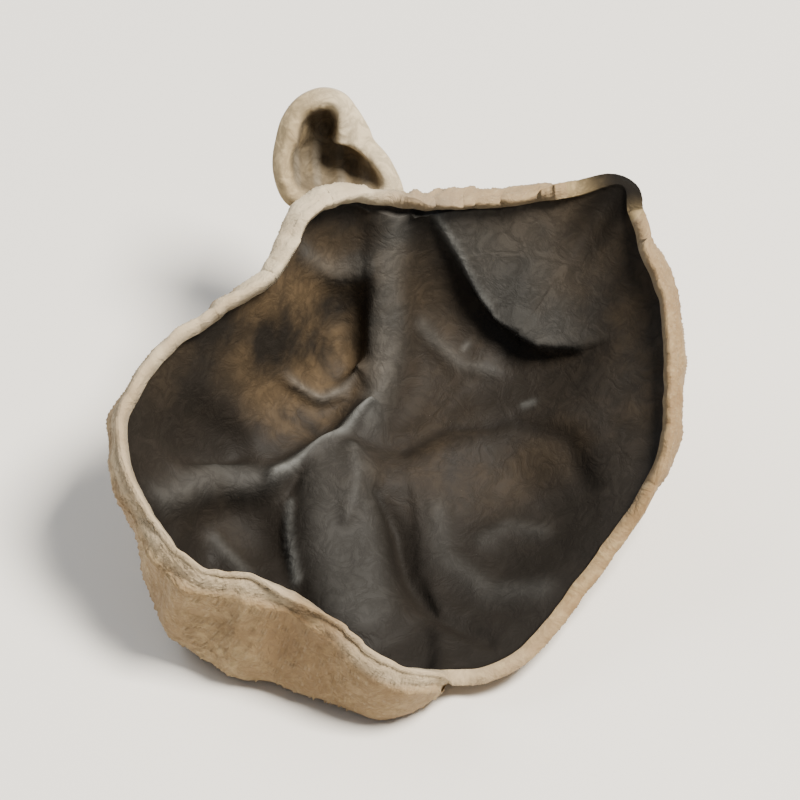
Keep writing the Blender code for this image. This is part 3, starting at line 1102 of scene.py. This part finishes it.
@dataclass
class CurledLobe:
    """The small pouch that leaves the wall above the stub and opens to the front.

    Attributes:
        middle: Its middle, in face axes.
        up: Its outline lies in the plane of X and this direction.
        back: Its hollow goes this way.
        depth: Depth of the hollow.
        roll: How far its rolled rim bends back.
        edge: Thickness of its edge.
        sink: How far its lower part comes forward, into the wall.
        keel: How far its back is drawn down the wall.
        rings: Rings of faces from its middle to its edge.
        sink_over: Distance over which that happens.
        pleats: How quickly the pleats of its hollow follow each other, in radians a millimetre.
        pleat_wander: How far they stray.
        pleat_height: Their height.
        back_creases: Creases of its back.
        back_folds: Folds of its back, which run down to the wall.
        fold_stretch: How slowly these change across, up and inwards.
        back_sunk: How far both are set back into the flesh.
        back_fade: Share of the way out over which they end.
        front_creases: Creases of its hollow side.
        front_sunk: How far they are set back into the flesh.
        front_fade: Share of the way out over which they end.
        line: Wander of the line where the rolled rim turns pale.
        line_over: Share of the rim over which it turns.
        blotches: Brown blotches of its back.
        blotch_share: How brown it is between them.
        pale_least: How pale its hollow is.
        pleat_pale: Painted highlight on its pleats, and how much stronger on their crests.
        deep: How dark the painted shade at the bottom of its hollow is.
        painted_highlight: Painted highlight on the rolled rim on the left, and how much stronger on the
            right.
        highlight_over: Distance over which that changes.
        highlight_from: Share of the rolled rim over which it begins.
        tufted: Share of the outside that carries a tuft of fuzz.
        tuft: Height of the tallest tuft.
        tuft_seed: Start of the random draws of the tufts.
    """

    middle: tuple[float, float, float] = (-4.0, 14.25, 6.18)
    up: tuple[float, float, float] = (0.0, 0.838, 0.547)
    back: tuple[float, float, float] = (0.0, 0.547, -0.838)
    depth: float = 2.6
    roll: float = 0.6
    edge: float = 0.5
    sink: float = 0.9
    keel: float = 1.5
    rings: int = 48
    sink_over: float = 3.2
    pleats: float = 5.5
    pleat_wander: Lumps = Lumps(2.0, 7.0, 1.2)
    pleat_height: float = 0.14
    back_creases: Lumps = Lumps(1.8, 13.0, 0.3)
    back_folds: Lumps = Lumps(1.0, 15.0, 0.45)
    fold_stretch: tuple[float, float, float] = (1.0, 0.25, 0.3)
    back_sunk: float = 0.3
    back_fade: float = 0.3
    front_creases: Lumps = Lumps(1.1, 17.0, 0.1)
    front_sunk: float = 0.05
    front_fade: float = 0.15
    line: Lumps = Lumps(0.9, 23.0, 0.12)
    line_over: float = 0.25
    blotches: Lumps = Lumps(3.0, 19.0, 0.5)
    blotch_share: float = 0.5
    pale_least: float = 0.3
    pleat_pale: tuple[float, float] = (0.3, 0.4)
    deep: float = 0.15
    painted_highlight: tuple[float, float] = (0.25, 0.45)
    highlight_over: float = 3.0
    highlight_from: float = 0.2
    tufted: float = 0.4
    tuft: float = 0.07
    tuft_seed: int = 23
    stance: Stance = field(default_factory=Stance)

    def place(self, side: np.ndarray, up: np.ndarray, depth: np.ndarray) -> np.ndarray:
        """Finds places of the lobe.

        Args:
            side: Place to the right of its middle.
            up: Place above its middle, in its outline.
            depth: Depth behind the outline.

        Returns:
            The places in the part's axes, one a row.
        """
        points = np.array(self.middle) + np.outer(side, (1.0, 0.0, 0.0)) + np.outer(up, self.up)
        points = points + np.outer(depth, self.back)
        points[:, 1] -= self.sink * smoothstep(-up / self.sink_over)
        return self.stance.apply(points)

    def build(self) -> bpy.types.Object:
        """Models the lobe.

        Returns:
            The finished piece.
        """
        flesh = Flesh(2 * self.rings)
        share, angle = disc_place(flesh.flat[:, 0], flesh.flat[:, 1])
        reach, roll = (around(angle, LOBE, name) for name in ("reach", "roll"))
        band = 1 - roll / reach
        across = np.clip((share - band) / (1 - band), 0.0, 1.0)
        inside = np.clip(share / band, 0.0, 1.0)
        hollow = self.roll + (self.depth - self.roll) * (1 - inside**3)
        depth = np.where(share < band, hollow, self.roll * (2 * across - 1) ** 2)
        side, up = reach * share * np.cos(angle), reach * share * np.sin(angle)
        pleats = np.sin(side * self.pleats + self.pleat_wander.smooth(np.stack([side, up, depth], axis=1)))
        depth = depth + self.pleat_height * pleats * (1 - smoothstep(2 * across)) * smoothstep(3 * share)
        points = self.place(side, up, depth)
        write_points(flesh.dark, points)
        flesh.thicken(self.edge)

        twin = flesh.twin
        hump = 1 - share[twin] ** 2
        behind = self.roll + self.edge + self.depth * hump
        back = self.place(side[twin], up[twin] - self.keel * hump, behind)
        write_points(flesh.tan, back)
        flesh.bm.normal_update()
        drawn = np.stack([side, up, depth], axis=1)[twin] * self.fold_stretch
        grow = self.back_creases.crumpled(back) + self.back_folds.crumpled(drawn) - self.back_sunk
        grow = grow * smoothstep((1 - share[twin]) / self.back_fade)
        write_points(flesh.tan, back + read_normals(flesh.tan) * grow[:, None])
        grow = self.front_creases.crumpled(points) - self.front_sunk
        grow = grow * smoothstep((1 - share) / self.front_fade)
        write_points(flesh.dark, points + read_normals(flesh.dark) * grow[:, None])

        pale = smoothstep((across + self.line.smooth(points)) / self.line_over)
        flesh.mark(Mark.PALE, flesh.dark, self.pale_least + (1 - self.pale_least) * pale)
        flesh.mark(Mark.PALE, flesh.tan, np.ones(len(twin)))
        # Painted highlight on the pleats, and painted shade at the bottom of the hollow.
        flesh.mark(Mark.RIB, flesh.dark, self.pleat_pale[0] + self.pleat_pale[1] * smoothstep(-pleats))
        flesh.mark(Mark.DEEP, flesh.dark, self.deep * (1 - inside**2))
        flesh.mark(Mark.BROWN, flesh.dark, np.ones(len(share)))
        flesh.mark(Mark.BROWN, flesh.tan, self.blotch_share + self.blotches.smooth(back))
        # Painted highlight on the rolled rim, stronger on the right.
        lit = self.painted_highlight[0] + self.painted_highlight[1] * smoothstep(0.5 + side / self.highlight_over)
        lit = lit * smoothstep(across / self.highlight_from)
        flesh.mark(Mark.LIGHT, flesh.dark, lit)
        flesh.mark(Mark.LIGHT, flesh.tan, (lit * smoothstep(8 * share - 7))[twin])
        flesh.roughen(self.tufted, self.tuft, self.tuft_seed)
        return flesh.finish("curled_lobe", set(flesh.dark))


# ---------------------------------------------------------------- finishes


class NodeGraph:
    """Short hand for wiring one node tree."""

    def __init__(self, tree: bpy.types.NodeTree) -> None:
        """Takes the tree that it adds nodes to."""
        self.tree = tree

    def add(self, kind: str, settings: dict | None = None, **inputs: object) -> bpy.types.Node:
        """Adds a node.

        Args:
            kind: The node's type name.
            settings: Properties of the node itself.
            inputs: Sockets by name with underscores for spaces, as values or as sockets to link.

        Returns:
            The new node.
        """
        node = self.tree.nodes.new(kind)
        for name, value in (settings or {}).items():
            setattr(node, name, value)
        for name, value in inputs.items():
            key = int(name[1:]) if name[0] == "i" and name[1:].isdigit() else name.replace("_", " ")
            self.feed(node.inputs[key], value)
        return node

    def feed(self, socket: bpy.types.NodeSocket, value: object) -> None:
        """Links a socket to another, or sets its value."""
        if isinstance(value, bpy.types.NodeSocket):
            self.tree.links.new(value, socket)
        else:
            socket.default_value = value

    def math(self, operation: str, first: object, second: object = 0.0) -> bpy.types.NodeSocket:
        """Adds a Math node and returns its output."""
        return self.add("ShaderNodeMath", {"operation": operation}, i0=first, i1=second).outputs[0]

    def mix(self, factor: object, first: object, second: object) -> bpy.types.NodeSocket:
        """Adds a colour Mix node and returns its output."""
        node = self.add("ShaderNodeMix", {"data_type": "RGBA"})
        self.feed(node.inputs[0], factor)
        self.feed(node.inputs[6], first)
        self.feed(node.inputs[7], second)
        return node.outputs[2]

    def ramp(self, value: object, ends: tuple[float, float]) -> bpy.types.NodeSocket:
        """Adds a Map Range node that eases from 0 to 1 between two ends, and returns its output."""
        eased = {"interpolation_type": "SMOOTHSTEP"}
        return self.add("ShaderNodeMapRange", eased, i0=value, i1=ends[0], i2=ends[1]).outputs[0]

    def attribute(self, mark: Mark) -> bpy.types.NodeSocket:
        """Reads one mark of the flesh."""
        return self.add("ShaderNodeAttribute", {"attribute_name": mark.value}).outputs["Fac"]


def new_group(name: str, inputs: dict[str, float], outputs: dict[str, str]) -> bpy.types.NodeTree:
    """Makes an empty shader node group.

    Args:
        name: Its name.
        inputs: Names and values of its number inputs.
        outputs: Names and socket types of its outputs.

    Returns:
        The group, with its input and output nodes.
    """
    tree = bpy.data.node_groups.new(name, "ShaderNodeTree")
    for label, value in inputs.items():
        socket = tree.interface.new_socket(label, in_out="INPUT", socket_type="NodeSocketFloat")
        socket.default_value = value
    for label, kind in outputs.items():
        tree.interface.new_socket(label, in_out="OUTPUT", socket_type=kind)
    tree.nodes.new("NodeGroupInput")
    tree.nodes.new("NodeGroupOutput")
    return tree


def skin_group() -> bpy.types.NodeTree:
    """Makes the group of dried skin: fine grain and creases that every finish of the flesh shows.

    Returns:
        A group with inputs for sizes in lumps a metre, and outputs Grain, Crease, Patch and Height.
    """
    tree = new_group(
        "dried_skin",
        {"Grain Scale": 4200.0, "Crease Scale": 900.0, "Patch Scale": 260.0},
        {name: "NodeSocketFloat" for name in ("Grain", "Crease", "Patch", "Height")},
    )
    graph = NodeGraph(tree)
    given, out = tree.nodes["Group Input"], tree.nodes["Group Output"]
    place = graph.add("ShaderNodeTexCoord").outputs["Object"]

    def cloud(scale: str, **shape: float) -> bpy.types.NodeSocket:
        """Adds a noise of the named size."""
        node = graph.add("ShaderNodeTexNoise", Vector=place, Scale=given.outputs[scale], **shape)
        return node.outputs["Fac"]

    grain = cloud("Grain Scale", Detail=3.0, Roughness=0.6)
    patch = cloud("Patch Scale", Detail=4.0, Roughness=0.55)
    crease = cloud("Crease Scale", Detail=4.0, Roughness=0.6, Distortion=0.6)
    steepness = 7.0
    line = graph.math("MULTIPLY", graph.math("ABSOLUTE", graph.math("SUBTRACT", crease, 0.5)), steepness)
    line = graph.math("MINIMUM", line, 1.0)
    height = graph.math("ADD", graph.math("MULTIPLY", grain, 0.45), graph.math("MULTIPLY", line, 0.55))
    for name, value in (("Grain", grain), ("Crease", line), ("Patch", patch), ("Height", height)):
        graph.feed(out.inputs[name], value)
    return tree


@dataclass(frozen=True)
class FaceFinish:
    """The dark, leathery hollow side.

    Attributes:
        name: Name of its material.
        slate: Most of the flesh.
        brown: Thin flesh that lets brown through.
        pit: Painted shade of the hollows and fine creases, and the dark tip.
        crest_highlight: Painted highlight on the crests of the folds and veins.
        rim: The lip.
        crest: The lip under its painted highlight.
        patches: Patchiness between which the brown breaks through.
        pit_share: How dark the painted shade of the hollows is.
        crest_highlight_share: How strong the painted highlight on the crests is.
        fine: Height of the skin between which its creases get painted shade.
        fine_share: How dark that painted shade is.
        roughness: Least roughness.
        patch_roughness: Roughness that the patches add.
        rim_roughness: Roughness that the lip adds.
        specular: Strength of its gloss.
        bump: Strength of its fine relief.
        bump_height: Height of that relief, in metres.
    """

    name: str = "dark_face"
    slate: Colour = (0.0185, 0.0150, 0.0115, 1.0)
    brown: Colour = (0.095, 0.064, 0.034, 1.0)
    pit: Colour = (0.006, 0.0045, 0.003, 1.0)
    crest_highlight: Colour = (0.190, 0.192, 0.182, 1.0)
    rim: Colour = (0.34, 0.245, 0.122, 1.0)
    crest: Colour = (0.62, 0.53, 0.37, 1.0)
    patches: tuple[float, float] = (0.35, 0.65)
    pit_share: float = 0.65
    crest_highlight_share: float = 0.75
    fine: tuple[float, float] = (0.1, 0.8)
    fine_share: float = 0.35
    roughness: float = 0.52
    patch_roughness: float = 0.3
    rim_roughness: float = 0.2
    specular: float = 0.15
    bump: float = 0.5
    bump_height: float = 0.06 * MM


@dataclass(frozen=True)
class OutsideFinish:
    """The tan, velvety outside and lip.

    Attributes:
        name: Name of its material.
        cream: Its lighter patches.
        tan: Its darker patches.
        ochre: Painted shade in the creases, worn places with the painted shade of the lip, and fibres.
        stub: The stub.
        tip: The tip.
        crest: Painted highlight on the rim, and tips of the fuzz.
        patches: Patchiness between which tan turns to cream.
        crease_share: How dark the painted shade in the creases is.
        fibres: Grain between which fibres show.
        fibre_share: How dark the fibres are.
        wear_and_shade_share: How dark the worn places and the painted shade of the lip are.
        stub_from: Nearness to the stub between which its colour takes over.
        fuzz_share: How pale the tips of the fuzz are.
        roughness: Least roughness.
        grain_roughness: Roughness that the grain adds.
        sheen: Strength of the velvety sheen.
        sheen_roughness: Its roughness.
        sheen_tint: Its colour.
        bump: Strength of its fine relief.
        bump_height: Height of that relief, in metres.
    """

    name: str = "tan_outside"
    cream: Colour = (0.36, 0.260, 0.130, 1.0)
    tan: Colour = (0.26, 0.170, 0.076, 1.0)
    ochre: Colour = (0.16, 0.09, 0.035, 1.0)
    stub: Colour = (0.075, 0.042, 0.02, 1.0)
    tip: Colour = (0.008, 0.006, 0.004, 1.0)
    crest: Colour = (0.62, 0.53, 0.37, 1.0)
    patches: tuple[float, float] = (0.35, 0.62)
    crease_share: float = 0.5
    fibres: tuple[float, float] = (0.62, 0.4)
    fibre_share: float = 0.35
    wear_and_shade_share: float = 0.45
    stub_from: tuple[float, float] = (0.4, 1.05)
    fuzz_share: float = 0.16
    roughness: float = 0.72
    grain_roughness: float = 0.2
    sheen: float = 0.1
    sheen_roughness: float = 0.5
    sheen_tint: Colour = (1.0, 0.90, 0.72, 1.0)
    bump: float = 0.6
    bump_height: float = 0.1 * MM


class Wardrobe:
    """Makes the finishes of the flesh and dresses pieces in them."""

    def __init__(self, face: FaceFinish, outside: OutsideFinish) -> None:
        """Makes both materials.

        Args:
            face: Colours of the dark side.
            outside: Colours of the tan side.
        """
        self.skin = skin_group()
        self.materials = (self.face_material(face), self.outside_material(outside))

    def start(self, name: str) -> tuple[NodeGraph, bpy.types.Node, bpy.types.Node, bpy.types.Material]:
        """Starts a material with its shader and a dried-skin node.

        Args:
            name: Name of the material.

        Returns:
            The graph, the shader, the skin node and the material.
        """
        material = bpy.data.materials.new(name)
        material.use_nodes = True
        graph = NodeGraph(material.node_tree)
        skin = graph.add("ShaderNodeGroup", {"node_tree": self.skin})
        return graph, material.node_tree.nodes["Principled BSDF"], skin, material

    def face_material(self, finish: FaceFinish) -> bpy.types.Material:
        """Makes the dark material: slate with brown patches, painted shade in the hollows and painted
        highlight on the veins.
        """
        graph, shader, skin, material = self.start(finish.name)
        patch, height = skin.outputs["Patch"], skin.outputs["Height"]
        brown = graph.math("MULTIPLY", graph.attribute(Mark.BROWN), graph.ramp(patch, finish.patches))
        colour = graph.mix(brown, finish.slate, finish.brown)
        # Painted shade in the hollows and grooves.
        deep = graph.math("MULTIPLY", graph.attribute(Mark.DEEP), finish.pit_share)
        colour = graph.mix(deep, colour, finish.pit)
        # Painted highlight on the crests of the folds and veins.
        rib = graph.math("MULTIPLY", graph.attribute(Mark.RIB), finish.crest_highlight_share)
        colour = graph.mix(rib, colour, finish.crest_highlight)
        # Painted highlight along the lip.
        rim = graph.mix(graph.attribute(Mark.LIGHT), finish.rim, finish.crest)
        colour = graph.mix(graph.attribute(Mark.PALE), colour, rim)
        # Painted shade in the fine creases of the skin.
        low = graph.math("SUBTRACT", 1.0, graph.ramp(height, finish.fine))
        colour = graph.mix(graph.math("MULTIPLY", low, finish.fine_share), colour, finish.pit)
        colour = graph.mix(graph.attribute(Mark.TIP), colour, finish.pit)
        graph.feed(shader.inputs["Base Color"], colour)
        rough = graph.math("MULTIPLY", patch, finish.patch_roughness)
        rough = graph.math("ADD", finish.roughness, rough)
        lip_rough = graph.math("MULTIPLY", graph.attribute(Mark.PALE), finish.rim_roughness)
        graph.feed(shader.inputs["Roughness"], graph.math("ADD", rough, lip_rough))
        shader.inputs["Specular IOR Level"].default_value = finish.specular
        self.raise_skin(graph, shader, height, finish)
        return material

    def outside_material(self, finish: OutsideFinish) -> bpy.types.Material:
        """Makes the tan material: cream patches, painted shade in the creases, painted highlight on the rim,
        browner at the stub.
        """
        graph, shader, skin, material = self.start(finish.name)
        grain = skin.outputs["Grain"]
        colour = graph.mix(graph.ramp(skin.outputs["Patch"], finish.patches), finish.tan, finish.cream)
        # Painted shade in the creases.
        creased = graph.math("SUBTRACT", 1.0, skin.outputs["Crease"])
        colour = graph.mix(graph.math("MULTIPLY", creased, finish.crease_share), colour, finish.ochre)
        fibre = graph.ramp(grain, finish.fibres)
        colour = graph.mix(graph.math("MULTIPLY", fibre, finish.fibre_share), colour, finish.ochre)
        # Worn places, and painted shade on the lip where its highlight is weak.
        wear_and_painted_light = graph.math("MULTIPLY", graph.attribute(Mark.BROWN), finish.wear_and_shade_share)
        colour = graph.mix(wear_and_painted_light, colour, finish.ochre)
        colour = graph.mix(graph.ramp(graph.attribute(Mark.ROOT), finish.stub_from), colour, finish.stub)
        # Painted highlight along the rim.
        colour = graph.mix(graph.attribute(Mark.LIGHT), colour, finish.crest)
        fuzz = graph.math("MULTIPLY", graph.attribute(Mark.FUZZ), finish.fuzz_share)
        colour = graph.mix(fuzz, colour, finish.crest)
        colour = graph.mix(graph.attribute(Mark.TIP), colour, finish.tip)
        graph.feed(shader.inputs["Base Color"], colour)
        rough = graph.math("MULTIPLY", grain, finish.grain_roughness)
        graph.feed(shader.inputs["Roughness"], graph.math("ADD", finish.roughness, rough))
        shader.inputs["Sheen Weight"].default_value = finish.sheen
        shader.inputs["Sheen Roughness"].default_value = finish.sheen_roughness
        shader.inputs["Sheen Tint"].default_value = finish.sheen_tint
        self.raise_skin(graph, shader, skin.outputs["Height"], finish)
        return material

    @staticmethod
    def raise_skin(
        graph: NodeGraph,
        shader: bpy.types.Node,
        height: bpy.types.NodeSocket,
        finish: FaceFinish | OutsideFinish,
    ) -> None:
        """Gives a material its fine relief.

        Args:
            graph: The graph of the material.
            shader: Its shader.
            height: Height of the skin, from 0 to 1.
            finish: Says how strong and how high the relief is.
        """
        bump = graph.add("ShaderNodeBump", Strength=finish.bump, Distance=finish.bump_height, Height=height)
        graph.feed(shader.inputs["Normal"], bump.outputs["Normal"])

    def dress(self, piece: bpy.types.Object) -> None:
        """Gives a piece both materials, in the order of Slot."""
        for material in self.materials:
            piece.data.materials.append(material)


# ---------------------------------------------------------------- studio


@dataclass(frozen=True)
class Lamp:
    """A square soft light.

    Attributes:
        name: Its name.
        place: Where it hangs, in metres.
        size: Its side, in metres.
        power: Its power in watts.
        tint: Its colour.
    """

    name: str
    place: tuple[float, float, float]
    size: float
    power: float
    tint: tuple[float, float, float]


@dataclass
class Studio:
    """Floor, soft lights and camera, in metres.

    Attributes:
        floor_colour: Colour of the floor.
        floor_roughness: Its roughness.
        floor_half: Half its side.
        sky: Colour of the light from all round.
        sky_strength: Its strength.
        lamps: The soft lights.
        aim: Place that the camera and the lights face.
        elevation: Height of the camera as an angle above the floor, in radians.
        distance: Distance of the camera.
        view_width: Width of what it sees there.
    """

    floor_colour: Colour = (0.80, 0.77, 0.71, 1.0)
    floor_roughness: float = 0.6
    floor_half: float = 1.5
    sky: Colour = (0.86, 0.91, 1.0, 1.0)
    sky_strength: float = 0.30
    aim: tuple[float, float, float] = (0.0, 0.0009, 0.0072)
    elevation: float = math.radians(47)
    distance: float = 0.6
    view_width: float = 0.0405
    lamps: tuple[Lamp, ...] = (
        Lamp("window", (0.16, -0.05, 0.34), 0.12, 4.4, (1.0, 0.95, 0.87)),
        Lamp("fill", (-0.24, 0.20, 0.24), 0.30, 0.9, (0.94, 0.97, 1.0)),
    )

    def build(self) -> None:
        """Sets the stage."""
        bm = bmesh.new()
        bmesh.ops.create_grid(bm, x_segments=1, y_segments=1, size=self.floor_half)
        mesh = bpy.data.meshes.new("floor")
        bm.to_mesh(mesh)
        bm.free()
        floor = bpy.data.objects.new("floor", mesh)
        bpy.context.scene.collection.objects.link(floor)
        material = bpy.data.materials.new("pale_floor")
        material.use_nodes = True
        shader = material.node_tree.nodes["Principled BSDF"]
        shader.inputs["Base Color"].default_value = self.floor_colour
        shader.inputs["Roughness"].default_value = self.floor_roughness
        mesh.materials.append(material)

        world = bpy.data.worlds.new("soft_room")
        world.use_nodes = True
        background = world.node_tree.nodes["Background"]
        background.inputs["Color"].default_value = self.sky
        background.inputs["Strength"].default_value = self.sky_strength
        bpy.context.scene.world = world
        for lamp in self.lamps:
            self.hang(lamp)
        self.camera()

    def hang(self, lamp: Lamp) -> None:
        """Adds a square soft light that faces the ear.

        Args:
            lamp: The light.
        """
        data = bpy.data.lights.new(lamp.name, "AREA")
        data.size, data.energy, data.color = lamp.size, lamp.power, lamp.tint
        light = bpy.data.objects.new(lamp.name, data)
        light.location = lamp.place
        light.rotation_euler = (Vector(self.aim) - Vector(lamp.place)).to_track_quat("-Z", "Y").to_euler()
        bpy.context.scene.collection.objects.link(light)

    def camera(self) -> None:
        """Adds the camera, in front of the ear and well above it."""
        data = bpy.data.cameras.new("view")
        data.lens = data.sensor_width * self.distance / self.view_width
        data.clip_start, data.clip_end = 0.01, 10.0
        camera = bpy.data.objects.new("view", data)
        back = Vector((0.0, -math.cos(self.elevation), math.sin(self.elevation)))
        camera.location = Vector(self.aim) + back * self.distance
        camera.rotation_euler = (-back).to_track_quat("-Z", "Y").to_euler()
        bpy.context.scene.collection.objects.link(camera)
        bpy.context.scene.camera = camera


def main() -> None:
    """Builds, dresses and lights the ear."""
    logging.basicConfig(level=logging.INFO, format="%(message)s")
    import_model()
    wardrobe = Wardrobe(FaceFinish(), OutsideFinish())
    for maker in (Cup(), CurledLobe()):
        piece = maker.build()
        wardrobe.dress(piece)
        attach(piece, "root")
        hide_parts("wood_ear")
        LOG.info("%s: %d faces", piece.name, len(piece.data.polygons))
    Studio().build()


if __name__ == "__main__":
    main()
